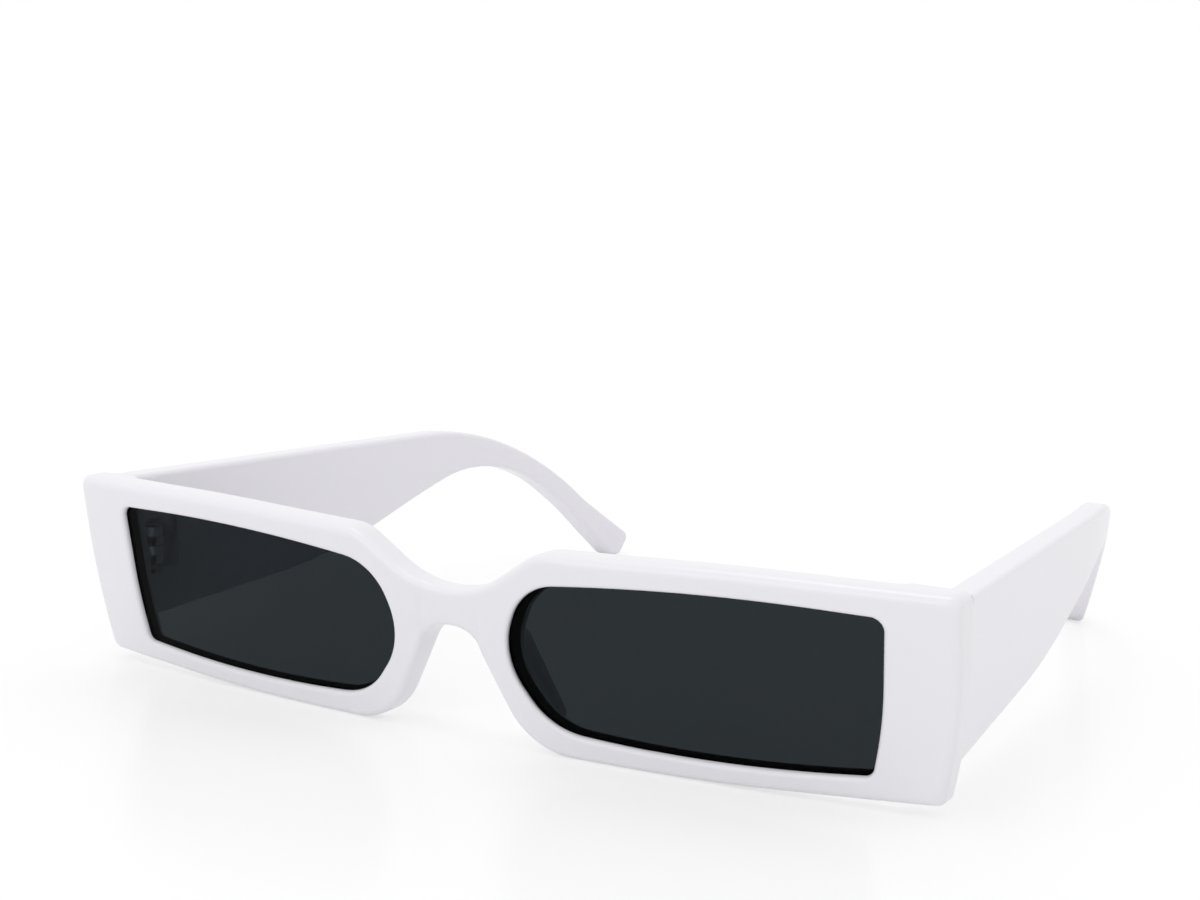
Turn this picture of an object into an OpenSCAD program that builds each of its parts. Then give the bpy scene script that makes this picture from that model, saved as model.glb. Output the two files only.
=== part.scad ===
// Slim sunglasses: one moulded front with its nose pads, two tinted lenses in a groove,
// two wide temples that hook down behind the ear, and a five-knuckle hinge at each end.
// Millimetres. +X is the wearer's left, the front faces -Y, +Z is up, and the rims and
// the temple tips stand on the plane z = 0.

/* [Front] */
// Overall width across the end pieces
front_w = 143.5; // [138:0.5:152]
// Height of the front
front_h = 30; // [28:0.5:33]
// Depth of the front from its face to its back, along the foot
front_t = 3.2; // [3.1:0.1:4]
// Radius to which the front is wrapped round the face
wrap_r = 450; // [300:10:600]
// Angle by which the top of the front leans forward
front_lean = 11.5; // [9:0.5:13]
// Angle by which its back leans, so that the front is deeper at the top
back_lean = 8; // [6.5:0.5:8.5]
// How much further in each side stands at the foot than at the top
side_taper = 2.4; // [0.6:0.2:3.6]
// Rise of the bottom edge towards the end pieces
foot_rise = 1.7; // [0.6:0.1:2.4]
// Width of the end pieces beside the lens openings
end_w = 9.5; // [9:0.1:12]
// Radius of the upper outer corners
top_corner_r = 1.5; // [0.8:0.1:3]
// Radius of the lower outer corners
foot_corner_r = 1.4; // [1:0.1:4]

/* [Bridge] */
// Depth of the saddle below the top edge
saddle_drop = 7.9; // [6.5:0.1:9]
// Height of the bridge at its middle
bridge_h = 5.6; // [4.6:0.1:6.6]
// Radius of the saddle
saddle_r = 15; // [10:0.5:17]
// Distance between the corners of the saddle
saddle_w = 9.8; // [9:0.1:11]
// Distance between the two shoulders where the top edge turns down
shoulder_span = 30; // [29:0.5:34]
// Radius of each shoulder
shoulder_r = 7; // [3:0.5:9]
// Width of the nose arch at its crown
nose_crown_w = 6.6; // [6:0.2:8]
// Width of the nose arch at its foot
nose_foot_w = 23.2; // [22:0.2:25]
// Radius in the corners of the crown
nose_crown_r = 4.6; // [3:0.2:5]
// Radius of the rims beside the nose
rim_foot_r = 10.5; // [8:0.5:12]

/* [Lenses] */
// Height of each lens opening
lens_h = 23.6; // [22:0.1:24.5]
// Distance between the two lens openings
lens_gap = 18; // [17:0.1:19]
// Height of the lens openings above the foot of the rims
lens_sill = 2.4; // [2.1:0.1:3.5]
// Radius of the upper nose corner of the opening
brow_r = 12.8; // [9:0.1:13]
// Radius of the middle of the nose side
nose_side_r = 13.4; // [10:0.1:16]
// Radius of the lower nose corner
cheek_r = 18; // [12:0.1:18.5]
// Thickness of the lens
lens_t = 1.8; // [1.6:0.1:1.9]
// Depth of the lens behind the face of the front
lens_recess = 0.9; // [0.7:0.1:1]
// Depth of the groove round the opening
groove_d = 0.9; // [0.6:0.05:1]
// Clearance between a lens and its groove
lens_play = 0.05; // [0.02:0.01:0.1]

/* [Nose pads] */
// How far the moulded pads stand out behind the rims
pad_depth = 4; // [2.5:0.25:5]
// How far the foot of the pads stands out
pad_foot_depth = 2; // [2:0.1:2.5]
// Radius of the pads' rounded back
pad_r = 1.8; // [1.4:0.1:2]
// Height of the pads' upper end
pad_top = 15.5; // [14:0.25:16]
// Length of the pads
pad_l = 12; // [10:0.25:12.5]
// Angle by which the pads open backwards
pad_splay = 32; // [20:1:40]

/* [Temples] */
// Distance from the hinge to the outer end of the temple, front to back
temple_reach = 126.8; // [120:0.1:136]
// Distance from the hinge to the bend behind the ear
ear_reach = 98.2; // [93:0.1:103]
// Height of the temple at the hinge
temple_h = 23.2; // [21:0.2:24]
// Thickness of the temple
temple_t = 4; // [3.6:0.1:4.6]
// Step of the temple's top below the top of the front
temple_step = 0.7; // [0.2:0.1:1]
// Fall of the temple's top edge from the hinge to the ear
temple_fall = 0.1; // [0:0.1:1.5]
// Radius of the bend behind the ear, along the top edge
bend_r = 70; // [60:1:85]
// Radius of the bend along the lower edge
arch_r = 31; // [26:1:40]
// Height of the temple where its lower edge turns up towards the ear
belly_h = 19.4; // [16:0.2:20]
// Height of the temple at the bend, between the two edges' corners
waist_h = 4.3; // [3.4:0.1:5.4]
// Length of the hooked tip's foot, front to back
tip_foot = 4.4; // [3.6:0.1:6]
// Height of the tip's outer corner
tip_h = 4.1; // [3.4:0.1:5]
// Radius of the tip's corners
tip_r = 1.7; // [1.4:0.1:2]
// Angle by which the temples run in from the hinges
converge = 3.6; // [2:0.1:6]
// Distance from the hinge at which the temple starts to curl in
curl_at = 66; // [56:0.5:80]
// Radius of that curl, seen from above
curl_r = 181; // [150:1:400]
// Angle by which each temple's foot stands further in than its top
cant = 4.2; // [0:0.1:5]

/* [Hinges] */
// Radius of the hinge barrel
barrel_r = 1.6; // [1.4:0.05:1.9]
// Height of the hinge barrel
barrel_h = 7.5; // [6:0.25:9]
// Number of knuckles in the barrel
knuckles = 5; // [3:2:5]
// Gap between two knuckles
knuckle_gap = 0.08; // [0.04:0.01:0.15]
// Thickness of the hinge plates
plate_t = 1.3; // [1:0.05:1.4]
// Length of the plate in the temple
temple_plate_l = 9; // [7:0.5:12]
// Width of the plate in the front
front_plate_w = 5.2; // [4.6:0.1:5.6]
// Radius of the hinge screw's shank
screw_r = 0.7; // [0.6:0.05:0.8]
// Radius of the screw's head
screw_head_r = 1.25; // [1.1:0.05:1.35]
// Height of the screw's head
screw_head_h = 0.9; // [0.7:0.05:1.2]
// Clearance between the screw and the knuckles it turns in
screw_play = 0.04; // [0.02:0.01:0.1]
// Clearance round the embedded metal
seat_play = 0.03; // [0.02:0.01:0.06]
// Clearance between the hinge barrel and the back of the front
barrel_play = 0.25; // [0.15:0.05:0.5]
// Gap at the seam between the front and a temple
seam = 0.12; // [0.08:0.02:0.3]

/* [Stiffeners] */
// Width of the metal strip inside each temple
core_w = 2; // [1.4:0.1:2.4]
// Thickness of the strip
core_t = 1.1; // [0.8:0.05:1.3]
// Distance from the strip's end to the middle of the tip
core_stop = 8; // [5:0.5:16]

/* [Hidden] */

// Facets are kept within this distance of the true curves
curve_error = 0.02;
// Reach of the cutting blocks, past every part of the frame
far = 300;
// Radius of the edges that are almost straight
edge_r = 400;
half_w = front_w / 2;
quarter_turn = 90;

// Depth of the wrapped face behind the face at the bridge, and the plane of the seam
function wrap_depth(x) = wrap_r - sqrt(wrap_r * wrap_r - x * x);
seam_depth = front_t + wrap_depth(half_w);
// Distance back from the foot of the bridge of a plane at this depth, at this height, where
// the plane leans like the face or like the back
function behind_face(depth, z) = (depth - z * sin(front_lean)) / cos(front_lean);
function behind_back(depth, z) = (depth - z * sin(back_lean)) / cos(back_lean);

// Outline of the front
bridge_top = front_h - saddle_drop;
bridge_foot = bridge_top - bridge_h;
shoulder_fall = 0.9;
corner_fall = 0.1;
side_knee = 12.6;
foot_run = 38;
brow_run = 42;
side_bend = atan2(side_taper, side_knee - foot_rise);
side_r = (side_knee - foot_rise) / tan(side_bend / 2);

// Lens opening, its corners measured from its box
lens_in = lens_gap / 2;
lens_out = half_w - end_w;
lens_top = lens_sill + lens_h;
lens_taper = 1.9;
lens_foot_rise = 2.1;
lens_corner_r = 2.1;
lens_foot_corner_r = 2.2;
lens_knee_in = 0.45;
lens_knee = 12;
lens_knee_r = 60;
brow_fall = 1.95;
brow_in = 3.2;
brow_crown = 0.75;
brow_mid = 36;
cheek_in = 6.2;
cheek_rise = 1.45;
nose_side_in = 0.95;
nose_side_z = lens_sill + 0.47 * lens_h;

// Wall between a lens groove and the thick end piece beside it
end_wall = 0.8;
end_in = lens_out + groove_d + end_wall;

// Temple heights, and the hinge's place
temple_top = front_h - temple_step;
temple_foot = temple_top - temple_h;
hinge_z = temple_top - temple_h / 2;
barrel_foot = hinge_z - barrel_h / 2;
seam_y = behind_back(seam_depth, hinge_z);
seam_top_y = behind_back(seam_depth, temple_top);
pivot_y = behind_back(seam_depth, barrel_foot) + barrel_play + barrel_r;
temple_out = half_w;
inner_shift = (pivot_y + barrel_r - seam_top_y) * tan(converge)
    + (temple_top - barrel_foot) * tan(cant)
    + temple_t / (cos(converge) * cos(cant));
pivot_x = temple_out - inner_shift - barrel_play - barrel_r;
temple_front_y = seam_y - 3 * barrel_r;

// Temple, side view as [y, z]
tip_y = pivot_y + temple_reach;
bend_y = pivot_y + ear_reach;
tip_slope = 2.5;
heel_r = 2.6;
arch_back = 3.8;
belly_run = 45.4;
belly_edge_r = 120;
ear_top = temple_top - temple_fall;
temple_corners = [
    [temple_front_y, temple_foot, 0],
    [pivot_y + belly_run, temple_top - belly_h, belly_edge_r],
    [bend_y - arch_back, ear_top - waist_h, arch_r],
    [tip_y - tip_foot, 0, heel_r],
    [tip_y - tip_slope, 0, tip_r],
    [tip_y, tip_h, tip_r],
    [bend_y, ear_top, bend_r],
    [temple_front_y, temple_top, 0],
];

// Stiffener, along the middle of the side view
core_front = 1;
bend_mid = [bend_y - arch_back / 2, ear_top - waist_h / 2];
tip_mid = [tip_y - tip_foot / 2, tip_h / 2];
core_end = tip_mid + core_stop * unit(bend_mid - tip_mid);
core_path = [
    [pivot_y + core_front, hinge_z, 0],
    [bend_mid.x, bend_mid.y, (bend_r + arch_r) / 2],
    [core_end.x, core_end.y, 0],
];

// Hinge metal
knuckle_pitch = barrel_h / knuckles;
plate_edge = 0.4;
plate_h = barrel_h + 2 * plate_edge;
front_plate_in = end_in + plate_edge;
thread_play = 0.02;
head_seat = 0.6;
web_reach = 0.5;
slot_w = 0.35;
slot_h = 0.3;
screw_stop = 0.3;
end_play = 0.03;

// Facet count of a full turn of this radius, within the curve error
function turns(r) = max(24, 4 * ceil(quarter_turn / (2 * acos(1 - curve_error / r))));

// Rounded outlines from corners [x, y, radius], listed anticlockwise. Where two arcs
// would meet on an edge, both are made smaller alike.
function unit(v) = v / norm(v);
function left_of(v) = [-v.y, v.x];
function turned(v, a) = [v.x * cos(a) - v.y * sin(a), v.x * sin(a) + v.y * cos(a)];
function flat(p) = [p.x, p.y];
function at(points, i) = points[(i + len(points)) % len(points)];
function edge(points, i) = flat(at(points, i + 1)) - flat(at(points, i));
function bend_at(points, i) = atan2(cross(edge(points, i - 1), edge(points, i)),
    edge(points, i - 1) * edge(points, i));
function tangent(points, i) = at(points, i).z * tan(abs(bend_at(points, i)) / 2);
function share(points, i) = norm(edge(points, i))
    / max(tangent(points, i) + tangent(points, i + 1), curve_error);
function corner(points, i, inset) =
    let (
        n1 = left_of(unit(edge(points, i - 1))),
        n2 = left_of(unit(edge(points, i))),
        bend = bend_at(points, i),
        side = bend < 0 ? -1 : 1,
        fit = min(1, 0.98 * share(points, i - 1), 0.98 * share(points, i)),
        radius = at(points, i).z * fit - side * inset,
        mitre = (n1 + n2) / (1 + n1 * n2),
        place = flat(at(points, i)),
        steps = max(2, ceil(abs(bend) / (2 * acos(1 - curve_error / max(radius, 1)))))
    )
    radius < curve_error
        ? [place + inset * mitre]
        : [for (k = [0:steps])
            place + (inset + side * radius) * mitre
                - side * radius * turned(n1, bend * k / steps)];
function rounded(points, inset = 0) =
    [for (i = [0:len(points) - 1]) each corner(points, i, inset)];
function both_sides(half) = concat(half,
    [for (i = [len(half) - 1:-1:0]) [-half[i].x, half[i].y, half[i].z]]);

// A band of even width beside an open path of points
function reversed(p) = [for (i = [len(p) - 1:-1:0]) p[i]];
function beside(p, shift) = [for (i = [0:len(p) - 1])
    p[i] + shift * left_of(unit(p[min(i + 1, len(p) - 1)] - p[max(i - 1, 0)]))];
function band(p, near, away) = concat(beside(p, near), reversed(beside(p, away)));

// Corners of the front, from the nose arch out and back to the saddle
front_corners = both_sides([
    [nose_crown_w / 2, bridge_foot, nose_crown_r],
    [nose_foot_w / 2, 0, rim_foot_r],
    [foot_run, 0, edge_r],
    [half_w - side_taper, foot_rise, foot_corner_r],
    [half_w, side_knee, side_r],
    [half_w, front_h - corner_fall, top_corner_r],
    [brow_run, front_h, edge_r],
    [shoulder_span / 2, front_h - shoulder_fall, shoulder_r],
    [saddle_w / 2, bridge_top, saddle_r],
]);

// Corners of the left lens opening
lens_corners = [
    [lens_in + cheek_in, lens_sill + cheek_rise, cheek_r],
    [foot_run, lens_sill, edge_r],
    [lens_out - lens_taper, lens_sill + lens_foot_rise, lens_foot_corner_r],
    [lens_out - lens_knee_in, lens_knee, lens_knee_r],
    [lens_out, lens_top, lens_corner_r],
    [brow_mid, lens_top + brow_crown, edge_r],
    [lens_in + brow_in, lens_top - brow_fall, brow_r],
    [lens_in - nose_side_in, nose_side_z, nose_side_r],
];

// Top view of a temple's outer face as [y, distance in], straight and then curled in
curl_turn = asin((temple_reach - curl_at) / curl_r + sin(converge)) - converge;
curl_steps = ceil(curl_turn / 2);
curl_in = (pivot_y + curl_at - seam_top_y) * tan(converge);
curl_run_out = 5;
function curl_point(a) = [
    pivot_y + curl_at + curl_r * (sin(converge + a) - sin(converge)),
    curl_in + curl_r * (cos(converge) - cos(converge + a))];
outer_line = concat(
    [[temple_front_y, (temple_front_y - seam_top_y) * tan(converge)]],
    [for (i = [0:curl_steps]) curl_point(curl_turn * i / curl_steps)],
    [curl_point(curl_turn) + curl_run_out * turned([1, 0], converge + curl_turn)]);

// The origin is moved back to the middle of the footprint
front_y = min([for (p = rounded(front_corners)) behind_face(wrap_depth(p.x), p.y)]);
back_y = max([for (p = rounded(temple_corners)) p.x]);
mid_y = (front_y + back_y) / 2;

// A part of one side of the frame, on the wearer's left or mirrored to the right
module on_side(side) {
    translate([0, -mid_y, 0]) mirror([side == "left" ? 0 : 1, 0, 0]) children();
}

// An outline in [x, z] carried through the frame from front to back
module front_to_back() {
    translate([0, far / 4, 0]) rotate([quarter_turn, 0, 0]) linear_extrude(far / 2) children();
}

// An outline in [y, z] carried across the wearer's left half
module across() {
    rotate([quarter_turn, 0, quarter_turn]) linear_extrude(half_w + temple_t) children();
}

// Everything behind the wrapped, leaning face, or a surface at this depth
module behind_wrap(depth, lean = front_lean) {
    rotate([lean, 0, 0]) translate([0, wrap_r, -far / 4])
        cylinder(r = wrap_r - depth, h = far / 2, $fn = turns(wrap_r));
}

// A place on the plane of the seam, at the height of the hinge
module on_seam() {
    translate([0, seam_y, hinge_z]) rotate([back_lean, 0, 0]) children();
}

// The half space in front of the seam, and the one behind it
module ahead_of_seam() {
    on_seam() translate([-far / 2, -far, -far / 2]) cube([far, far, far]);
}

module behind_seam(gap) {
    on_seam() translate([-far / 2, gap, -far / 2]) cube([far, far, far]);
}

// The stretch beside the hinge, x = 0 on the temple's outer face, y from the seam's top
module in_temple() {
    translate([temple_out, 0, temple_top]) rotate([0, cant, 0])
        translate([0, seam_top_y, -temple_top]) rotate([0, 0, converge]) children();
}

// A shape that follows the lens opening between two depths
module lens_shell(from, to, grow) {
    intersection() {
        front_to_back() polygon(rounded(lens_corners, -grow));
        difference() {
            behind_wrap(from);
            behind_wrap(to);
        }
    }
}

module end_piece() {
    intersection() {
        behind_wrap(0);
        ahead_of_seam();
        translate([end_in, -far / 4, -far / 4]) cube([far, far / 2, far / 2]);
    }
}

module front_blank() {
    intersection() {
        front_to_back() polygon(rounded(front_corners));
        union() {
            difference() {
                behind_wrap(0);
                behind_wrap(front_t, back_lean);
            }
            end_piece();
            mirror([1, 0, 0]) end_piece();
        }
    }
}

// Width of the nose arch from its middle at this height
function nose_x(z) = nose_crown_w / 2
    + (bridge_foot - z) / bridge_foot * (nose_foot_w - nose_crown_w) / 2;

// One end of a nose pad: where it leaves the rim and where it stands out
module pad_end(z, stand) {
    for (out = [0, stand])
        translate([nose_x(z) + pad_r + out * tan(pad_splay), behind_back(front_t, z) + out, z])
            sphere(r = pad_r, $fn = 24);
}

module nose_pad() {
    difference() {
        hull() {
            pad_end(pad_top - pad_r, pad_depth - pad_r);
            pad_end(pad_top - pad_l + pad_r, pad_foot_depth - pad_r);
        }
        lens_shell(0, lens_recess + lens_t + lens_play, groove_d + pad_depth);
    }
}

module front_leaf_plate(grow) {
    on_seam() translate([front_plate_in - grow, -plate_t - grow, -plate_h / 2 - grow])
        cube([front_plate_w + 2 * grow, plate_t + 2 * grow, plate_h + 2 * grow]);
}

module front_half_cuts() {
    lens_shell(-front_t, 2 * seam_depth, 0);
    lens_shell(lens_recess - lens_play, lens_recess + lens_t + lens_play, groove_d);
    front_leaf_plate(seat_play);
}

module frame_front() {
    color("#f0eef2") on_side("left") union() {
        difference() {
            front_blank();
            front_half_cuts();
            mirror([1, 0, 0]) front_half_cuts();
        }
        nose_pad();
        mirror([1, 0, 0]) nose_pad();
    }
}

module lens(side) {
    color("#2a2e31") on_side(side)
        lens_shell(lens_recess, lens_recess + lens_t, groove_d - lens_play);
}

// One band of a temple between two distances in from its outer face
module temple_band(near, away) {
    translate([temple_out, 0, temple_top]) rotate([0, cant, 0])
        translate([0, 0, -far / 2]) linear_extrude(far)
            polygon([for (p = band(outer_line, near, away)) [-p.y, p.x]]);
}

module temple_leaf_plate(grow) {
    in_temple() translate([-temple_t - grow, pivot_y - barrel_r / 2 - seam_top_y - grow,
        hinge_z - plate_h / 2 - grow])
        cube([plate_t + 2 * grow, temple_plate_l + 2 * grow, plate_h + 2 * grow]);
}

function core_points() = concat([flat(core_path[0])], corner(core_path, 1, 0),
    [flat(core_path[2])]);

module core_strip(grow) {
    intersection() {
        across() polygon(band(core_points(), -core_w / 2 - grow, core_w / 2 + grow));
        temple_band(temple_t - plate_t - core_t - grow, temple_t - plate_t + grow);
    }
}

module temple(side) {
    color("#ebe9ee") on_side(side) difference() {
        intersection() {
            across() polygon(rounded(temple_corners));
            temple_band(0, temple_t);
            behind_seam(seam);
        }
        temple_leaf_plate(seat_play);
        core_strip(seat_play);
    }
}

module temple_core(side) {
    color("#b9bcc0") on_side(side) core_strip(0);
}

// A knuckle on the hinge's axis, with the web that carries it
module knuckle(i) {
    low = i == 0 ? 0 : knuckle_gap / 2;
    high = i == knuckles - 1 ? 0 : knuckle_gap / 2;
    translate([pivot_x, pivot_y, barrel_foot + i * knuckle_pitch + low])
        linear_extrude(knuckle_pitch - low - high) children();
}

module barrel_bore(r) {
    translate([pivot_x, pivot_y, barrel_foot - screw_head_h])
        cylinder(r = r, h = barrel_h + 2 * screw_head_h, $fn = 48);
}

module front_hinge_leaf(side) {
    color("#c4c6ca") on_side(side) difference() {
        union() {
            front_leaf_plate(0);
            intersection() {
                for (i = [0:2:knuckles - 1]) knuckle(i) {
                    circle(r = barrel_r, $fn = 48);
                    translate([front_plate_in - pivot_x, -seam_depth])
                        square([pivot_x + web_reach - front_plate_in, seam_depth]);
                }
                behind_seam(-plate_t);
            }
        }
        barrel_bore(screw_r + thread_play);
        translate([pivot_x, pivot_y, barrel_foot + barrel_h - head_seat])
            cylinder(r = screw_head_r + screw_play, h = screw_head_h, $fn = 48);
    }
}

module temple_hinge_leaf(side) {
    color("#c4c6ca") on_side(side) difference() {
        union() {
            temple_leaf_plate(0);
            difference() {
                for (i = [1:2:knuckles - 2]) knuckle(i) {
                    circle(r = barrel_r, $fn = 48);
                    translate([0, -barrel_r / 2])
                        square([temple_t, barrel_r * 1.5]);
                }
                temple_band(-temple_t, temple_t - plate_t);
            }
        }
        barrel_bore(screw_r + screw_play);
    }
}

module hinge_screw(side) {
    head_foot = barrel_foot + barrel_h - head_seat + end_play;
    color("#a9abb0") on_side(side) difference() {
        union() {
            translate([pivot_x, pivot_y, barrel_foot + screw_stop])
                cylinder(r = screw_r, h = head_foot - barrel_foot - screw_stop + curve_error,
                    $fn = 48);
            translate([pivot_x, pivot_y, head_foot])
                cylinder(r = screw_head_r, h = screw_head_h, $fn = 48);
        }
        translate([pivot_x - screw_head_r * 2, pivot_y - slot_w / 2,
            head_foot + screw_head_h - slot_h])
            cube([screw_head_r * 4, slot_w, screw_head_h]);
    }
}

frame_front();
lens("left");  // lens_left
lens("right");  // lens_right
temple("left");  // temple_left
temple("right");  // temple_right
front_hinge_leaf("left");  // front_hinge_leaf_left
front_hinge_leaf("right");  // front_hinge_leaf_right
temple_hinge_leaf("left");  // temple_hinge_leaf_left
temple_hinge_leaf("right");  // temple_hinge_leaf_right
hinge_screw("left");  // hinge_screw_left
hinge_screw("right");  // hinge_screw_right
temple_core("left");  // temple_core_left
temple_core("right");  // temple_core_right
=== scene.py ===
"""Slim sunglasses: a white moulded front and two wide hooked temples, dark lenses and small
metal hinges, on a white table. Lengths in the named values are millimetres where no comment
says metres."""
from math import atan2, ceil, cos, pi, radians, sin, tan

import bmesh
import bpy
import numpy as np
from mathutils import Matrix, Vector
from mathutils.geometry import delaunay_2d_cdt


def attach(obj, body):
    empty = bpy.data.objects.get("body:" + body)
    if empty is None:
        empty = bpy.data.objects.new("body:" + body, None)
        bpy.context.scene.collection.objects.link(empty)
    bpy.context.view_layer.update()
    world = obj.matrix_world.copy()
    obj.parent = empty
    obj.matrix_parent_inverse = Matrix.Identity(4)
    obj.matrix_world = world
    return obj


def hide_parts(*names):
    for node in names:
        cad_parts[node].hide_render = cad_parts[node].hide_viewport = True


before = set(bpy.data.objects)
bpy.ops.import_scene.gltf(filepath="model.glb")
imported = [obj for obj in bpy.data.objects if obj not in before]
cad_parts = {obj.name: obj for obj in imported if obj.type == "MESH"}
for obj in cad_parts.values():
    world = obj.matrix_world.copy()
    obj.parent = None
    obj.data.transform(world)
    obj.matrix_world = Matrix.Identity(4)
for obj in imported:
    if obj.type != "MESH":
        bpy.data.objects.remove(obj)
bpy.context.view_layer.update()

MM = 0.001

# The front, as in the part's source
HALF_W = 71.75
FRONT_H = 30.0
FRONT_T = 3.2
WRAP_R = 450.0
LEAN = radians(11.5)
BACK_LEAN = radians(8.0)
SIDE_TAPER = 2.4
FOOT_RISE = 1.7
SIDE_KNEE = 12.6
CORNER_FALL = 0.1
FOOT_RUN = 38.0
BROW_RUN = 42.0
SHOULDER_SPAN = 30.0
SHOULDER_FALL = 0.9
SADDLE_W = 9.8
BRIDGE_TOP = 22.1
BRIDGE_FOOT = 16.5
NOSE_CROWN_W = 6.6
NOSE_FOOT_W = 23.2
SADDLE_R = 15.0
NOSE_CROWN_R = 4.6
RIM_FOOT_R = 10.5
FOOT_CORNER_R = 1.4
TOP_CORNER_R = 1.5
SHOULDER_R = 7.0
EDGE_R = 400.0
MID_Y = 64.8092

# The lens openings, their corners measured from their box
LENS_IN = 9.0
LENS_OUT = 62.25
LENS_SILL = 2.4
LENS_TOP = 26.0
CHEEK_IN = 6.2
CHEEK_RISE = 1.45
CHEEK_R = 18.0
LENS_TAPER = 1.9
LENS_FOOT_RISE = 2.1
LENS_FOOT_CORNER_R = 2.2
LENS_KNEE_IN = 0.45
LENS_KNEE = 12.0
LENS_KNEE_R = 60.0
LENS_CORNER_R = 2.1
BROW_MID = 36.0
BROW_CROWN = 0.75
BROW_IN = 3.2
BROW_FALL = 1.95
BROW_R = 12.8
NOSE_SIDE_IN = 0.95
NOSE_SIDE_Z = LENS_SILL + 0.47 * (LENS_TOP - LENS_SILL)
NOSE_SIDE_R = 13.4
LENS_T = 1.8
LENS_RECESS = 0.9
LENS_BEVEL = 0.15
GROOVE_D = 0.9
LENS_PLAY = 0.05

# The temples
TEMPLE_TOP = 29.3
TEMPLE_FOOT = 6.1
TEMPLE_T = 4.0
PIVOT_Y = 8.9344
TEMPLE_REACH = 126.8
EAR_REACH = 98.2
CURL_AT = 66.0
CURL_R = 181.0
CONVERGE = radians(3.6)
CANT = radians(4.2)
BEND_R = 70.0
ARCH_R = 31.0
ARCH_BACK = 3.8
BELLY_H = 19.4
BELLY_RUN = 45.4
BELLY_EDGE_R = 120.0
WAIST_H = 4.3
TIP_FOOT = 4.4
TIP_SLOPE = 2.5
TIP_H = 4.1
TIP_R = 1.7
HEEL_R = 2.6
TEMPLE_FALL = 0.1
TIP_WAIST_AT = 0.36
TIP_WAIST_IN = 0.85
UNDER_WAIST_AT = 0.4
UNDER_WAIST_IN = 1.1
TIP_WAIST_R = 32.0
SEAM = 0.12
SEAM_CORNER_R = 0.15

# Rounding of the edges, and the lips behind the lenses
BROW_EDGE = 1.7
SHOULDER_EDGE = 1.2
FOOT_EDGE = 0.9
END_EDGE = 1.0
BACK_EDGE = 0.7
PAD_EDGE = 0.9
SEAM_EDGE = 0.22
SILL_EDGE = 0.85
NOSE_SIDE_EDGE = 0.5
HEAD_EDGE = 0.4
OPENING_BACK_EDGE = 0.45
SILL_LIP = 0.45
SIDE_LIP = 0.6
HEAD_LIP = 0.1
NOSE_LIP = 0.7
TEMPLE_EDGE = 0.8
METAL_EDGE = 0.08

# Points of the meshes. STEP runs along an outline and GRID over a face, a ring of points lies
# LAP edge radii inside a rounded edge, GRID_GAP steps stay free beside an outline, and the LEAST
# values keep a division from zero.
STEP = 0.7
TURN_STEP = radians(9.0)
ARC_SHARE = 0.98
TIGHT = 1.3
LAP = 0.2
OPENING_LAP = 0.25
GRID = 1.6
GRID_GAP = 0.8
GRID_FOOT = 0.4
TEMPLE_GRID_FOOT = 0.3
LENS_STEP = 1.0
LENS_GRID = 1.5
SLIVER = 2e-4
LEAST = 0.02
LEAST_SLIDE = 1e-9
SAME_POINT = 1e-7

# Rings of points along a rounded edge, and spans of a wall
FACE_RINGS = 7
BACK_RINGS = 6
OPENING_RINGS = 6
LIP_RINGS = 4
WALL_SPANS = 7
LIP_WALL_SPANS = 3
TEMPLE_WALL_SPANS = 4

# Welding of points, in metres, and the angles that the metal's edges are told by
WELD = 2e-6
NODE_WELD = 1e-6
FLAT_WITHIN = radians(1.0)
SHARP_FROM = radians(35.0)

# The bridge is set back between the rims, and the end pieces are thicker behind
BRIDGE_DIP = 0.35
DIP_IN = 4.2
DIP_RUN = 1.1
END_STEP_IN = 62.9
END_STEP_RUN = 1.3

# The moulded nose pads
PAD_H = 4.0
PAD_FOOT = 0.2
PAD_TOP = 18.6
PAD_FOOT_RISE = 5.0
PAD_TOP_RISE = 3.0
PAD_FLAT = 2.2
PAD_RUN = 3.0
PAD_APART = 0.6
PAD_APART_RUN = 2.6
PAD_SPLAY = tan(radians(32.0))
SPLAY_EASE = 0.4
PAD_ZONE = 24.0

# Lines of the finer points as from, to and spacing, and where the plain ones stay clear of them
DIP_LINES = (DIP_IN - 0.3, DIP_IN + 1.6, 0.25)
DIP_CLEAR = DIP_IN + 1.8
END_LINES = (END_STEP_IN - 0.3, END_STEP_IN + 2.2, 0.3)
END_ROW_STEP = 0.8
END_CLEAR = (END_STEP_IN - 0.6, END_STEP_IN + 2.4)
PAD_LINES = (-20.0, 20.1, 0.5)
PAD_ROWS = (1.0, 19.0, 0.5)
PAD_CLEAR = (20.4, 19.2)


def smooth(t):
    t = np.clip(t, 0.0, 1.0)
    return t * t * (3.0 - 2.0 * t)


def wrapped(x, depth):
    """Depth behind the bridge's face of the surface this far into the front."""
    return WRAP_R - np.sqrt((WRAP_R - depth) ** 2 - x ** 2)


SEAM_DEPTH = FRONT_T + float(wrapped(np.float64(HALF_W), 0.0))


def behind(depth, z):
    """Depth in the leaning frame of the back's surface, which leans less."""
    return (depth - z * sin(BACK_LEAN)) / cos(BACK_LEAN) * cos(LEAN) + z * sin(LEAN)


def leaning(x, deep, z):
    """Points in metres from x, the depth in the leaning frame, and z."""
    y = (deep - z * sin(LEAN)) / cos(LEAN) - MID_Y
    return np.stack([x, y, z], axis=1) * MM


def nose_x(z):
    return NOSE_CROWN_W / 2 + (BRIDGE_FOOT - z) / BRIDGE_FOOT * (NOSE_FOOT_W - NOSE_CROWN_W) / 2


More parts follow.
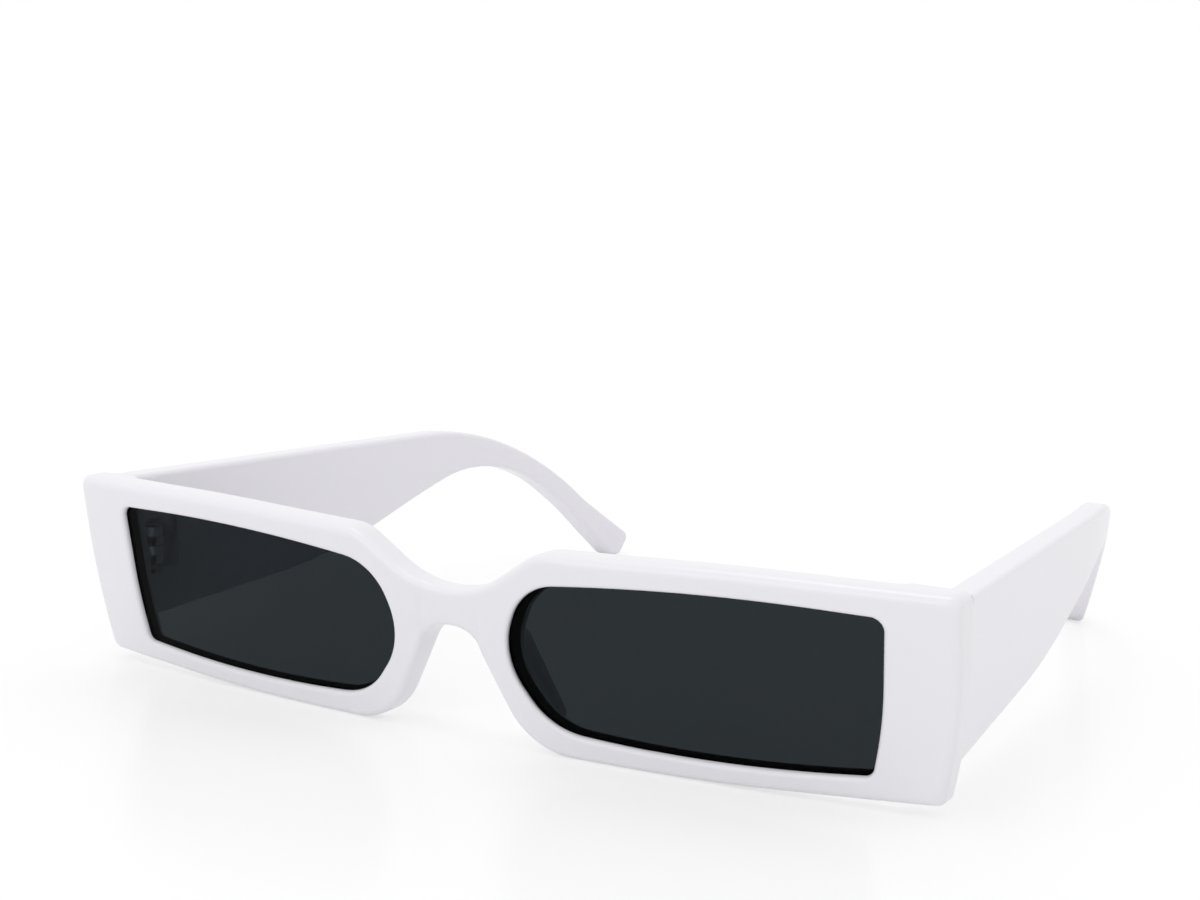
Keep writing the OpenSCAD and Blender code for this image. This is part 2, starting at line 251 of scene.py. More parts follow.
def pad_height(x, z):
    along = smooth((z - PAD_FOOT) / PAD_FOOT_RISE) * smooth((PAD_TOP - z) / PAD_TOP_RISE)
    across = 1.0 - smooth((np.abs(x) - nose_x(z) - PAD_FLAT) / PAD_RUN)
    apart = smooth((np.abs(x) - PAD_APART) / PAD_APART_RUN)
    return PAD_H * along * across * apart * (np.abs(x) < PAD_ZONE)


def face_depth(x):
    return wrapped(x, 0.0) + BRIDGE_DIP * (1.0 - smooth((np.abs(x) - DIP_IN) / DIP_RUN))


def back_depth(x, z):
    flat = wrapped(x, FRONT_T)
    thicker = smooth((np.abs(x) - END_STEP_IN) / END_STEP_RUN)
    return behind(flat + thicker * (SEAM_DEPTH - flat), z) + pad_height(x, z)


def front_place(x, deep, z):
    """A point of the front. Behind the rims beside the nose it leans out with the pads."""
    rim_back = behind(wrapped(x, FRONT_T), z)
    beyond = np.where(np.abs(x) < PAD_ZONE, np.maximum(deep - rim_back, 0.0), 0.0)
    lean_out = PAD_SPLAY * beyond ** 2 / (beyond + SPLAY_EASE)
    return leaning(x + np.sign(x) * lean_out, deep, z)


def turned(v, a):
    return np.array([v[0] * cos(a) - v[1] * sin(a), v[0] * sin(a) + v[1] * cos(a)])


class Outline:
    """A rounded outline from corners (x, z, radius), anticlockwise, with evenly spaced points.
    An inset vector at each point leads one edge radius in, where the edge radius is given for
    the edge after each corner."""

    def __init__(self, corners, step=STEP):
        self.step = step
        self.place = np.array([c[:2] for c in corners], float)
        self.radius = np.array([c[2] for c in corners], float)
        count = len(corners)
        ahead = np.roll(self.place, -1, axis=0) - self.place
        self.length = np.linalg.norm(ahead, axis=1)
        self.along = ahead / self.length[:, None]
        self.inward = np.stack([-self.along[:, 1], self.along[:, 0]], axis=1)
        before = np.roll(self.along, 1, axis=0)
        turn = before[:, 0] * self.along[:, 1] - before[:, 1] * self.along[:, 0]
        self.bend = np.arctan2(turn, (before * self.along).sum(axis=1))
        self.reach = self.radius * np.tan(np.abs(self.bend) / 2)
        share = self.length / np.maximum(self.reach + np.roll(self.reach, -1), LEAST)
        for i in range(count):
            fit = min(1.0, ARC_SHARE * share[i - 1], ARC_SHARE * share[i])
            self.radius[i] *= fit
            self.reach[i] *= fit
        self.count = count
        self.points = self.insets([0.0] * count)[0]

    def insets(self, edges):
        """Points, inset vectors and edge radii."""
        points, normals, radii, tight = [], [], [], []
        for i in range(self.count):
            first, last = edges[i - 1], edges[i]
            n1, n2 = self.inward[i - 1], self.inward[i]
            side = -1.0 if self.bend[i] < 0 else 1.0
            mitre = (n1 + n2) / (1.0 + n1 @ n2)
            steps = max(3, ceil(abs(self.bend[i]) * self.radius[i] / self.step),
                        ceil(abs(self.bend[i]) / TURN_STEP))
            if side > 0 and self.radius[i] < TIGHT * max(first, last):
                meeting = np.linalg.solve(np.array([n1, n2]), np.array([first, last]))
                tight.append((len(points), len(points) + steps, meeting,
                              -meeting @ self.along[i - 1], meeting @ self.along[i]))
            for k in range(steps + 1):
                normals.append(turned(n1, self.bend[i] * k / steps))
                points.append(self.place[i] + side * self.radius[i] * (mitre - normals[-1]))
                radii.append(first + (last - first) * k / steps)
            start = self.place[i] + self.along[i] * self.reach[i]
            free = self.length[i] - self.reach[i] - self.reach[(i + 1) % self.count]
            pieces = max(1, round(free / self.step))
            for k in range(1, pieces):
                points.append(start + free * k / pieces * self.along[i])
                normals.append(n2)
                radii.append(last)
        points, normals, radii = np.array(points), np.array(normals), np.array(radii)
        vectors = normals * radii[:, None]
        along = np.stack([normals[:, 1], -normals[:, 0]], axis=1)
        spans = np.linalg.norm(np.roll(points, -1, axis=0) - points, axis=1)
        run = np.concatenate([[0.0], np.cumsum(spans)[:-1]])
        for first, last, meeting, before, after in tight:
            for gone, slide in ((run - run[last], after), (run[first] - run, -before)):
                fade = 1.0 - gone % spans.sum() / max(2.0 * abs(slide), LEAST_SLIDE)
                vectors += along * (slide * np.maximum(0.0, fade))[:, None]
            vectors[first:last + 1] = meeting
        return points, vectors, radii


def inside(points, loop):
    """Which of the points are inside the closed loop."""
    x, z = points[:, 0][:, None], points[:, 1][:, None]
    ax, az = loop[:, 0][None], loop[:, 1][None]
    bx, bz = np.roll(loop[:, 0], -1)[None], np.roll(loop[:, 1], -1)[None]
    spans = (az > z) != (bz > z)
    rise = np.where(spans, bz - az, 1.0)
    crossing = spans & (x < ax + (z - az) * (bx - ax) / rise)
    return crossing.sum(axis=1) % 2 == 1


class Shell:
    """Mesh points and faces, built ring by ring."""

    def __init__(self):
        self.points, self.faces = [], []

    def add(self, points):
        first = len(self.points)
        self.points.extend(tuple(float(c) for c in p) for p in points)
        return list(range(first, len(self.points)))

    def join(self, a, b):
        for i in range(len(a)):
            j = (i + 1) % len(a)
            self.faces.append((a[i], a[j], b[j], b[i]))

    def lofted(self, rings):
        for a, b in zip(rings, rings[1:]):
            self.join(a, b)

    def fill(self, loops, grid, place):
        """Fills the flat region inside the first loop and outside the others. Each loop is its
        point numbers and its flat points; place puts the flat points between them in space."""
        everything = np.concatenate([flat for _, flat in loops])
        keep = inside(grid, loops[0][1])
        for _, flat in loops[1:]:
            keep &= ~inside(grid, flat)
        grid = grid[keep]
        if len(grid):
            gaps = np.sqrt(((grid[:, None] - everything[None]) ** 2).sum(axis=2)).min(axis=1)
            grid = grid[gaps > GRID_GAP * STEP]
        numbers = [n for ids, _ in loops for n in ids] + self.add(place(grid))
        flat = np.concatenate([everything, grid])
        rims, first = [], 0
        for ids, _ in loops:
            rims += [(first + k, first + (k + 1) % len(ids)) for k in range(len(ids))]
            first += len(ids)
        spots, _, triangles, origins, _, _ = delaunay_2d_cdt(
            [Vector((float(p[0]), float(p[1]))) for p in flat], rims, [], 0, SAME_POINT)
        corners = np.array([[tuple(spots[v]) for v in t] for t in triangles])
        middles = corners.mean(axis=1)
        sides = np.roll(corners, -1, axis=1) - corners
        area = np.abs(sides[:, 0, 0] * sides[:, 1, 1] - sides[:, 0, 1] * sides[:, 1, 0])
        height = area / np.linalg.norm(sides, axis=2).max(axis=1)
        keep = inside(middles, loops[0][1]) & (height > SLIVER)
        for _, loop in loops[1:]:
            keep &= ~inside(middles, loop)
        for wanted, triangle in zip(keep, triangles):
            if wanted:
                self.faces.append(tuple(numbers[origins[v][0]] for v in triangle))

    def built(self, name, material):
        mesh = bpy.data.meshes.new(name)
        mesh.from_pydata(self.points, [], self.faces)
        work = bmesh.new()
        work.from_mesh(mesh)
        bmesh.ops.remove_doubles(work, verts=work.verts, dist=WELD)
        bmesh.ops.dissolve_degenerate(work, edges=work.edges, dist=WELD)
        bmesh.ops.recalc_face_normals(work, faces=work.faces)
        work.to_mesh(mesh)
        work.free()
        for face in mesh.polygons:
            face.use_smooth = True
        mesh.materials.append(material)
        return linked(name, mesh)


def linked(name, data):
    """A new object of this data, in the scene."""
    made = bpy.data.objects.new(name, data)
    bpy.context.scene.collection.objects.link(made)
    return made


def grid_points(x_values, z_values):
    x, z = np.meshgrid(x_values, z_values)
    return np.stack([x.ravel(), z.ravel()], axis=1)


def both_ways(lines):
    """Grid lines from, to and spacing, on both sides of the middle."""
    values = np.arange(*lines)
    return np.concatenate([-values, values])


def rounding(count, lap=LAP):
    """How far in and how far from the face the rings of a rounded edge lie, in edge radii, from
    the wall to the face, and then a ring further in on the face."""
    angles = [pi / 2 * k / count for k in range(count + 1)]
    return [(1.0 - cos(a), 1.0 - sin(a)) for a in angles] + [(1.0 + lap, 0.0)]


def wall(top, foot, count):
    """Depths between the top and the foot of a wall."""
    return [top + (foot - top) * k / count for k in range(1, count)]


def mirrored(corners):
    return [(-x, z, r) for x, z, r in reversed(corners)]


SIDE_R = (SIDE_KNEE - FOOT_RISE) / tan(atan2(SIDE_TAPER, SIDE_KNEE - FOOT_RISE) / 2)
FRONT_HALF = [
    (NOSE_CROWN_W / 2, BRIDGE_FOOT, NOSE_CROWN_R),
    (NOSE_FOOT_W / 2, 0.0, RIM_FOOT_R),
    (FOOT_RUN, 0.0, EDGE_R),
    (HALF_W - SIDE_TAPER, FOOT_RISE, FOOT_CORNER_R),
    (HALF_W, SIDE_KNEE, SIDE_R),
    (HALF_W, FRONT_H - CORNER_FALL, TOP_CORNER_R),
    (BROW_RUN, FRONT_H, EDGE_R),
    (SHOULDER_SPAN / 2, FRONT_H - SHOULDER_FALL, SHOULDER_R),
    (SADDLE_W / 2, BRIDGE_TOP, SADDLE_R),
]
FRONT_CORNERS = FRONT_HALF + mirrored(FRONT_HALF)
LENS_CORNERS = [
    (LENS_IN + CHEEK_IN, LENS_SILL + CHEEK_RISE, CHEEK_R),
    (FOOT_RUN, LENS_SILL, EDGE_R),
    (LENS_OUT - LENS_TAPER, LENS_SILL + LENS_FOOT_RISE, LENS_FOOT_CORNER_R),
    (LENS_OUT - LENS_KNEE_IN, LENS_KNEE, LENS_KNEE_R),
    (LENS_OUT, LENS_TOP, LENS_CORNER_R),
    (BROW_MID, LENS_TOP + BROW_CROWN, EDGE_R),
    (LENS_IN + BROW_IN, LENS_TOP - BROW_FALL, BROW_R),
    (LENS_IN - NOSE_SIDE_IN, NOSE_SIDE_Z, NOSE_SIDE_R),
]

# Edge radius after each corner of a lens opening, and how far the lip behind the lens stands in
OPENING_EDGES = [SILL_EDGE, SILL_EDGE, SILL_EDGE, SILL_EDGE, HEAD_EDGE, HEAD_EDGE,
                 NOSE_SIDE_EDGE, NOSE_SIDE_EDGE]
REAR_LIPS = [SILL_LIP, SILL_LIP, SIDE_LIP, SIDE_LIP, HEAD_LIP, HEAD_LIP, NOSE_LIP, NOSE_LIP]


def mirrored_edges(edges):
    """Values given after each corner, for the mirrored corners."""
    return edges[-2::-1] + edges[-1:]


def by_edge(half):
    """Edge radii of both halves from those after each corner of one half. The last of them is
    the edge over the bridge, and the edge under it takes the first."""
    return half + half[-2::-1] + [half[0]]


# Edge radius after each corner: nose, rim foot, foot, side, side, top, brow, shoulder, saddle
FACE_EDGES = [FOOT_EDGE, FOOT_EDGE, FOOT_EDGE, END_EDGE, END_EDGE, BROW_EDGE, BROW_EDGE,
              SHOULDER_EDGE, SHOULDER_EDGE]
BACK_EDGES = [PAD_EDGE, BACK_EDGE, BACK_EDGE, SEAM_EDGE, SEAM_EDGE, BACK_EDGE, BACK_EDGE,
              BACK_EDGE, BACK_EDGE]


def face_place(p):
    return front_place(p[:, 0], face_depth(p[:, 0]), p[:, 1])


def back_place(p):
    return front_place(p[:, 0], back_depth(p[:, 0], p[:, 1]), p[:, 1])


def front_mesh():
    shell = Shell()
    outline = Outline(FRONT_CORNERS)
    base, vector, radius = outline.insets(by_edge(FACE_EDGES))
    _, back_vector, back_radius = outline.insets(by_edge(BACK_EDGES))
    profile = []
    for inset, drop in reversed(rounding(FACE_RINGS)):
        flat = base + inset * vector
        profile.append((flat, face_depth(flat[:, 0]) + drop * radius))
    foot = back_depth(base[:, 0], base[:, 1]) - back_radius
    profile += [(base, depth) for depth in wall(profile[-1][1], foot, WALL_SPANS)]
    for inset, drop in rounding(BACK_RINGS):
        flat = base + inset * back_vector
        profile.append((flat, back_depth(flat[:, 0], flat[:, 1]) - drop * back_radius))
    rings = [shell.add(front_place(flat[:, 0], deep, flat[:, 1])) for flat, deep in profile]
    shell.lofted(rings)
    face_loops = [(rings[0], profile[0][0])]
    back_loops = [(rings[-1], profile[-1][0])]
    for corners, edges, lips in (
            (LENS_CORNERS, OPENING_EDGES, REAR_LIPS),
            (mirrored(LENS_CORNERS), mirrored_edges(OPENING_EDGES), mirrored_edges(REAR_LIPS))):
        face, back = opening(shell, corners, edges, lips)
        face_loops.append(face)
        back_loops.append(back)
    up = np.arange(GRID_FOOT, FRONT_H, GRID)
    plain = grid_points(np.arange(-HALF_W, HALF_W + GRID / 2, GRID), up)
    off, high = np.abs(plain[:, 0]), plain[:, 1]
    beside_pads = (off > PAD_CLEAR[0]) | (high > PAD_CLEAR[1])
    plain_back = plain[(off < END_CLEAR[0]) & beside_pads | (off > END_CLEAR[1])]
    face_grid = np.concatenate([plain[off > DIP_CLEAR], grid_points(both_ways(DIP_LINES), up)])
    ends = grid_points(both_ways(END_LINES), np.arange(GRID_FOOT, FRONT_H, END_ROW_STEP))
    pads = grid_points(np.arange(*PAD_LINES), np.arange(*PAD_ROWS))
    shell.fill(face_loops, face_grid, face_place)
    shell.fill(back_loops, np.concatenate([plain_back, ends, pads]), back_place)
    return shell


def opening(shell, corners, edges, lips):
    """The wall of a lens opening with its groove, from the face to the back."""
    outline = Outline(corners)
    _, inward, _ = outline.insets([1.0] * outline.count)
    _, vector, radius = outline.insets(edges)
    _, lip_vector, _ = outline.insets(lips)
    base = outline.points
    lip = base + lip_vector
    profile = []
    for inset, drop in reversed(rounding(OPENING_RINGS, OPENING_LAP)):
        flat = base - inset * vector
        profile.append((flat, face_depth(flat[:, 0]) + drop * radius))
    groove_face = LENS_RECESS - LENS_PLAY
    groove_back = LENS_RECESS + LENS_T + LENS_PLAY
    for distance, depth in ((0.0, groove_face), (GROOVE_D, groove_face), (GROOVE_D, groove_back)):
        flat = base - distance * inward
        profile.append((flat, wrapped(flat[:, 0], depth)))
    lip_face = wrapped(lip[:, 0], groove_back)
    foot = back_depth(lip[:, 0], lip[:, 1]) - OPENING_BACK_EDGE
    profile += [(lip, depth) for depth in [lip_face] + wall(lip_face, foot, LIP_WALL_SPANS)]
    for inset, drop in rounding(LIP_RINGS, OPENING_LAP):
        flat = lip - OPENING_BACK_EDGE * inset * inward
        deep = back_depth(flat[:, 0], flat[:, 1]) - OPENING_BACK_EDGE * drop
        profile.append((flat, deep))
    rings = [shell.add(front_place(flat[:, 0], deep, flat[:, 1])) for flat, deep in profile]
    shell.lofted(rings)
    return (rings[0], profile[0][0]), (rings[-1], profile[-1][0])


def lens_mesh(corners):
    shell = Shell()
    outline = Outline(corners, LENS_STEP)
    _, inward, _ = outline.insets([1.0] * outline.count)
    edge = outline.points - (GROOVE_D - LENS_PLAY) * inward
    face, back = LENS_RECESS, LENS_RECESS + LENS_T
    profile = [(edge + LENS_BEVEL * inward, face), (edge, face + LENS_BEVEL),
               (edge, back - LENS_BEVEL), (edge + LENS_BEVEL * inward, back)]
    rings = [shell.add(leaning(flat[:, 0], wrapped(flat[:, 0], depth), flat[:, 1]))
             for flat, depth in profile]
    shell.lofted(rings)
    low, high = edge.min(axis=0), edge.max(axis=0)
    grid = grid_points(np.arange(low[0], high[0], LENS_GRID),
                       np.arange(low[1], high[1], LENS_GRID))
    for ring, (flat, depth) in ((rings[0], profile[0]), (rings[-1], profile[-1])):
        shell.fill([(ring, flat)], grid, lambda p, depth=depth: leaning(
            p[:, 0], wrapped(p[:, 0], depth), p[:, 1]))
    return shell


def seam_y(z, gap):
    return (SEAM_DEPTH + gap - z * sin(BACK_LEAN)) / cos(BACK_LEAN)


TIP_Y = PIVOT_Y + TEMPLE_REACH
BEND_Y = PIVOT_Y + EAR_REACH
BEND_Z = TEMPLE_TOP - TEMPLE_FALL


def hook_waist(tip, bend, share, inward):
    """A corner set in from the hook's edge, this share of the way from the tip to the bend."""
    run = np.array(bend) - np.array(tip)
    y, z = np.array(tip) + share * run + inward * np.array([run[1], -run[0]]) / np.hypot(*run)
    return y, z, TIP_WAIST_R


BEND = (BEND_Y, BEND_Z)
ARCH = (BEND_Y - ARCH_BACK, BEND_Z - WAIST_H)
TIP = (TIP_Y, TIP_H)
HEEL = (TIP_Y - TIP_FOOT, 0.0)
TEMPLE_CORNERS = [
    (seam_y(TEMPLE_FOOT, SEAM), TEMPLE_FOOT, SEAM_CORNER_R),
    (PIVOT_Y + BELLY_RUN, TEMPLE_TOP - BELLY_H, BELLY_EDGE_R),
    (*ARCH, ARCH_R),
    hook_waist(HEEL, ARCH, UNDER_WAIST_AT, UNDER_WAIST_IN),
    (*HEEL, HEEL_R),
    (TIP_Y - TIP_SLOPE, 0.0, TIP_R),
    (*TIP, TIP_R),
    hook_waist(TIP, BEND, TIP_WAIST_AT, -TIP_WAIST_IN),
    (*BEND, BEND_R),
    (seam_y(TEMPLE_TOP, SEAM), TEMPLE_TOP, SEAM_CORNER_R),
]
TEMPLE_EDGES = [TEMPLE_EDGE] * (len(TEMPLE_CORNERS) - 1) + [SEAM_EDGE]


def temple_in(y, t):
    """Distance in from the outer face's line, at y, of the surface this far into the temple."""
    start = PIVOT_Y + CURL_AT
    begin_in = (start - seam_y(TEMPLE_TOP, 0.0)) * tan(CONVERGE)
    middle = start - CURL_R * sin(CONVERGE)
    straight = (y - seam_y(TEMPLE_TOP, 0.0)) * tan(CONVERGE) + t / cos(CONVERGE)
    radius = CURL_R - t
    curled = begin_in + CURL_R * cos(CONVERGE) - np.sqrt(
        np.maximum(radius ** 2 - (y - middle) ** 2, 0.0))
    return np.where(y > middle + radius * sin(CONVERGE), curled, straight)


def temple_place(side, y, z, t):
    inward = temple_in(y, t)
    x = HALF_W - inward / cos(CANT) - (TEMPLE_TOP - z) * tan(CANT)
    return np.stack([side * x, y - MID_Y, z], axis=1) * MM


def temple_mesh(side):
    shell = Shell()
    outline = Outline(TEMPLE_CORNERS)
    base, vector, radius = outline.insets(TEMPLE_EDGES)
    edge = [(base + inset * vector, drop * radius) for inset, drop in rounding(FACE_RINGS)]
    profile = edge[::-1]
    profile += [(base, t) for t in wall(radius, TEMPLE_T - radius, TEMPLE_WALL_SPANS)]
    profile += [(flat, TEMPLE_T - t) for flat, t in edge]
    rings = [shell.add(temple_place(side, flat[:, 0], flat[:, 1], t)) for flat, t in profile]
    shell.lofted(rings)
    low, high = base.min(axis=0), base.max(axis=0)
    grid = grid_points(np.arange(low[0], high[0], GRID),
                       np.arange(low[1] + TEMPLE_GRID_FOOT, high[1], GRID))
    for ring, (flat, _), t in ((rings[0], profile[0], 0.0), (rings[-1], profile[-1], TEMPLE_T)):
        shell.fill([(ring, flat)], grid, lambda p, t=t: temple_place(side, p[:, 0], p[:, 1], t))
    return shell


class Nodes:
    """A material's nodes, added one after another and linked by name."""

    def __init__(self, name):
        self.material = bpy.data.materials.new(name)
        self.material.use_nodes = True
        self.tree = self.material.node_tree
        self.shader = self.tree.nodes["Principled BSDF"]
        self.coordinates = self.tree.nodes.new("ShaderNodeTexCoord").outputs["Object"]

    def set(self, **values):
        for name, value in values.items():
            self.shader.inputs[name.replace("_", " ")].default_value = value

    def feed(self, name, source):
        self.tree.links.new(source, self.shader.inputs[name])

    def noise(self, scale, detail=3.0, stretch=(1, 1, 1)):
        mapping = self.tree.nodes.new("ShaderNodeMapping")
        mapping.inputs["Scale"].default_value = stretch
        self.tree.links.new(self.coordinates, mapping.inputs["Vector"])
        noise = self.tree.nodes.new("ShaderNodeTexNoise")
        noise.inputs["Scale"].default_value = scale
        noise.inputs["Detail"].default_value = detail
        self.tree.links.new(mapping.outputs["Vector"], noise.inputs["Vector"])
        return noise.outputs["Fac"]

    def ramp(self, source, first, last, low=0.35, high=0.65):
        ramp = self.tree.nodes.new("ShaderNodeValToRGB")
        for element, place, color in zip(ramp.color_ramp.elements, (low, high), (first, last)):
            element.position = place
            element.color = (*color, 1.0)
        self.tree.links.new(source, ramp.inputs["Fac"])
        return ramp.outputs["Color"]

    def between(self, source, low, high):
        span = self.tree.nodes.new("ShaderNodeMapRange")
        span.inputs["To Min"].default_value = low
        span.inputs["To Max"].default_value = high
        self.tree.links.new(source, span.inputs["Value"])
        return span.outputs["Result"]

    def bump(self, source, strength, distance):
        bump = self.tree.nodes.new("ShaderNodeBump")
        bump.inputs["Strength"].default_value = strength
        bump.inputs["Distance"].default_value = distance
        self.tree.links.new(source, bump.inputs["Height"])
        self.feed("Normal", bump.outputs["Normal"])


def plastic(name, first, last):
    nodes = Nodes(name)
    nodes.set(IOR=1.46, Coat_Weight=0.25, Coat_Roughness=0.08, Coat_IOR=1.46)
    color = nodes.noise(scale=22.0, detail=0.0)
    nodes.feed("Base Color", nodes.ramp(color, first, last, low=0.1, high=0.9))
    nodes.feed("Roughness", nodes.between(nodes.noise(scale=40.0, detail=0.0), 0.27, 0.31))
    return nodes.material


def lens_tint(name, first, last):
    nodes = Nodes(name)
    nodes.set(Transmission_Weight=1.0, IOR=1.09)
    nodes.feed("Base Color", nodes.ramp(nodes.noise(scale=25.0), first, last))
    nodes.feed("Roughness", nodes.between(nodes.noise(scale=400.0), 0.0, 0.02))
    return nodes.material


def metal(name, first, last, stretch):
    nodes = Nodes(name)
    nodes.set(Metallic=1.0)
    color = nodes.noise(scale=900.0, detail=4.0, stretch=stretch)
    nodes.feed("Base Color", nodes.ramp(color, first, last))
    grain = nodes.noise(scale=1500.0, detail=4.0, stretch=stretch)
    nodes.feed("Roughness", nodes.between(grain, 0.2, 0.42))
    nodes.bump(nodes.noise(scale=3000.0, stretch=stretch), strength=0.12, distance=0.00003)
    return nodes.material


FRONT_PLASTIC = plastic("front plastic", (0.78, 0.77, 0.803), (0.785, 0.775, 0.808))
TEMPLE_PLASTIC = plastic("temple plastic", (0.78, 0.767, 0.811), (0.785, 0.772, 0.816))
LENS_TINT = lens_tint("tinted lens", (0.024, 0.0295, 0.033), (0.025, 0.0305, 0.034))
HINGE_METAL = metal("hinge metal", (0.58, 0.58, 0.6), (0.68, 0.68, 0.7), (1, 1, 6))
SCREW_METAL = metal("screw metal", (0.56, 0.56, 0.58), (0.7, 0.7, 0.72), (1, 1, 12))
CORE_METAL = metal("core metal", (0.55, 0.55, 0.57), (0.66, 0.66, 0.68), (1, 8, 1))

front = front_mesh().built("moulded_front", FRONT_PLASTIC)
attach(front, "front")
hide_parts("frame_front")

for side, word in ((1, "left"), (-1, "right")):
    corners = LENS_CORNERS if side > 0 else mirrored(LENS_CORNERS)
    lens = lens_mesh(corners).built("tinted_lens_" + word, LENS_TINT)
    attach(lens, "front")
    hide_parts("lens_" + word)
    temple = temple_mesh(side).built("moulded_temple_" + word, TEMPLE_PLASTIC)
    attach(temple, word + "_temple")
    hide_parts("temple_" + word)


def edged_copy(node, name, material):
    """A copy of a metal node with its edges broken. The bevel clamps its own width, which narrows
    it on the screws and leaves none on the front leaves, only faces without area."""
    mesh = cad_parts[node].data.copy()
    mesh.name = name
    work = bmesh.new()
    work.from_mesh(mesh)
    bmesh.ops.remove_doubles(work, verts=work.verts, dist=NODE_WELD)
    bmesh.ops.dissolve_limit(work, angle_limit=FLAT_WITHIN, verts=work.verts, edges=work.edges)
    work.to_mesh(mesh)
    work.free()
    for face in mesh.polygons:
        face.use_smooth = True
    mesh.materials.clear()
    mesh.materials.append(material)
    piece = linked(name, mesh)
    bevel = piece.modifiers.new("edges", "BEVEL")
    bevel.width = METAL_EDGE * MM
    bevel.segments = 2
    bevel.limit_method = "ANGLE"
    bevel.angle_limit = SHARP_FROM
    bevel.harden_normals = True
    return piece


for word in ("left", "right"):
    for node, body, material, slot in (
            ("front_hinge_leaf_", "front", HINGE_METAL, "hinge_metal"),
            ("temple_hinge_leaf_", word + "_temple", HINGE_METAL, "hinge_metal"),
            ("hinge_screw_", "front", SCREW_METAL, "screw_metal")):
        piece = edged_copy(node + word, "finished_" + node + word, material)
        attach(piece, body)
        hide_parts(node + word)
    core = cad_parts["temple_core_" + word]
    if not core.material_slots:
        core.data.materials.append(CORE_METAL)
    for place in core.material_slots:
        place.material = CORE_METAL

# The table, in metres, and the share of plain white in what a camera sees of it, which is GLOW
# at the frame and 1 far from it
TABLE_HALF = 6.0
TABLE_DROP = 0.00002
WHITE = (1.0, 1.0, 1.0, 1.0)
GLOW = 0.58
GLOW_NEAR = 0.10
GLOW_FAR = 0.30


def worked_out(tree, operation, first, second):
    """The result of a math node on two outputs."""
    node = tree.nodes.new("ShaderNodeMath")
    node.operation = operation
    tree.links.new(first, node.inputs[0])
    tree.links.new(second, node.inputs[1])
    return node.outputs[0]


def camera_side(tree):
    """1 for rays that look at the scene, straight, mirrored or through glass."""
    rays = tree.nodes.new("ShaderNodeLightPath").outputs
    straight_or_mirrored = worked_out(tree, "MAXIMUM", rays["Is Camera Ray"], rays["Is Glossy Ray"])
    return worked_out(tree, "MAXIMUM", straight_or_mirrored, rays["Is Transmission Ray"])


def table():
    mesh = bpy.data.meshes.new("table")
    work = bmesh.new()
    bmesh.ops.create_grid(work, x_segments=8, y_segments=8, size=TABLE_HALF)
    work.to_mesh(mesh)
    work.free()
    nodes = Nodes("table white")
    make, link = nodes.tree.nodes.new, nodes.tree.links.new
    color = nodes.ramp(nodes.noise(scale=3.0), (0.94, 0.94, 0.945), (0.95, 0.95, 0.955))
    nodes.feed("Base Color", color)
    nodes.set(Roughness=0.22, IOR=1.3)
    glow = make("ShaderNodeEmission")
    glow.inputs["Color"].default_value = WHITE
    far = make("ShaderNodeVectorMath")
    far.operation = "LENGTH"
    link(nodes.coordinates, far.inputs[0])
    share = make("ShaderNodeMapRange")
    share.interpolation_type = "SMOOTHSTEP"
    for name, value in (("From Min", GLOW_NEAR), ("From Max", GLOW_FAR), ("To Min", GLOW)):
        share.inputs[name].default_value = value
    link(far.outputs["Value"], share.inputs["Value"])
    seen = worked_out(nodes.tree, "MULTIPLY", share.outputs["Result"], camera_side(nodes.tree))
    blend = make("ShaderNodeMixShader")
    link(seen, blend.inputs["Fac"])
    link(nodes.shader.outputs["BSDF"], blend.inputs[1])
    link(glow.outputs["Emission"], blend.inputs[2])
    link(blend.outputs[0], nodes.tree.nodes["Material Output"].inputs["Surface"])
    mesh.materials.append(nodes.material)
    floor = linked("table", mesh)
    floor.location.z = -TABLE_DROP


table()

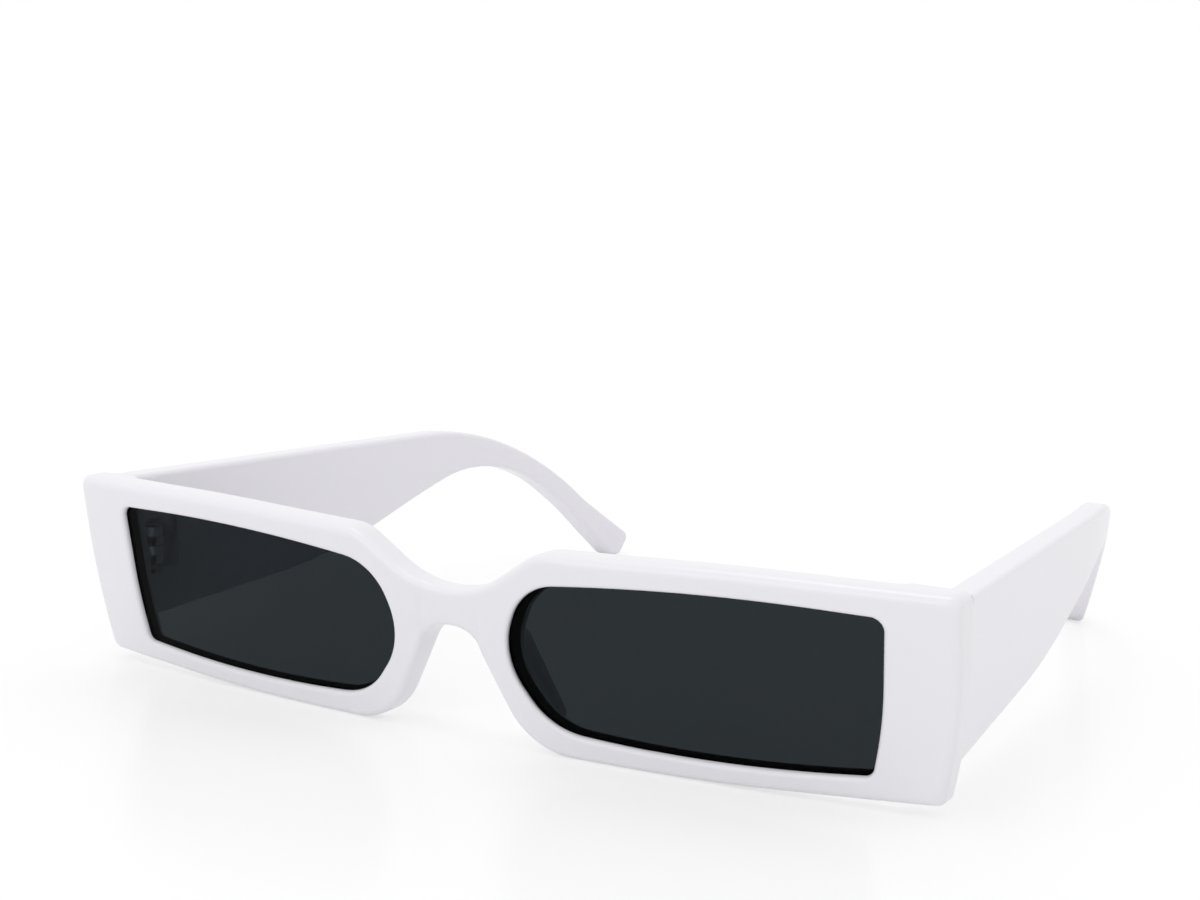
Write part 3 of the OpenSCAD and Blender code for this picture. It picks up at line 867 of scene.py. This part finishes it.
# Light
AMBIENT = 0.95
world = bpy.data.worlds.new("studio")
bpy.context.scene.world = world
world.use_nodes = True
sky = world.node_tree.nodes["Background"]
sky.inputs["Color"].default_value = WHITE
level = world.node_tree.nodes.new("ShaderNodeMapRange")
level.inputs["To Min"].default_value = AMBIENT
level.inputs["To Max"].default_value = 1.0
world.node_tree.links.new(camera_side(world.node_tree), level.inputs["Value"])
world.node_tree.links.new(level.outputs["Result"], sky.inputs["Strength"])


def lamp(name, place, target, size, power):
    data = bpy.data.lights.new(name, "AREA")
    data.shape = "RECTANGLE"
    data.size, data.size_y = size
    data.energy = power
    light = linked(name, data)
    light.location = place
    aim = Vector(target) - Vector(place)
    light.rotation_euler = aim.to_track_quat("-Z", "Y").to_euler()


lamp("overhead", place=(-0.15, -0.25, 1.35), target=(0.0, 0.0, 0.0), size=(0.7, 0.5), power=2.4)
lamp("front", place=(-0.15, -1.25, 0.35), target=(0.0, 0.0, 0.01), size=(0.9, 0.6), power=1.7)

# The photograph's camera, in metres, and its lens in millimetres
LENS = 57.6785
SENSOR = 36.0
PLACE = Vector((0.14398, -0.28450, 0.07759))
AZIMUTH = radians(29.184)
ELEVATION = radians(7.854)
ROLL = radians(2.020)
back = Vector((sin(AZIMUTH) * cos(ELEVATION), -cos(AZIMUTH) * cos(ELEVATION), sin(ELEVATION)))
right = Vector((cos(AZIMUTH), sin(AZIMUTH), 0.0))
upward = back.cross(right)
across = right * cos(ROLL) + upward * sin(ROLL)
upward = upward * cos(ROLL) - right * sin(ROLL)
view = bpy.data.cameras.new("photograph")
view.sensor_fit = "HORIZONTAL"
view.sensor_width = SENSOR
view.lens = LENS
view.clip_start = 0.01
view.clip_end = 50.0
camera = linked("photograph", view)
camera.matrix_world = Matrix((
    (across.x, upward.x, back.x, PLACE.x),
    (across.y, upward.y, back.y, PLACE.y),
    (across.z, upward.z, back.z, PLACE.z),
    (0.0, 0.0, 0.0, 1.0)))
bpy.context.scene.camera = camera
bpy.context.scene.view_settings.view_transform = "Standard"
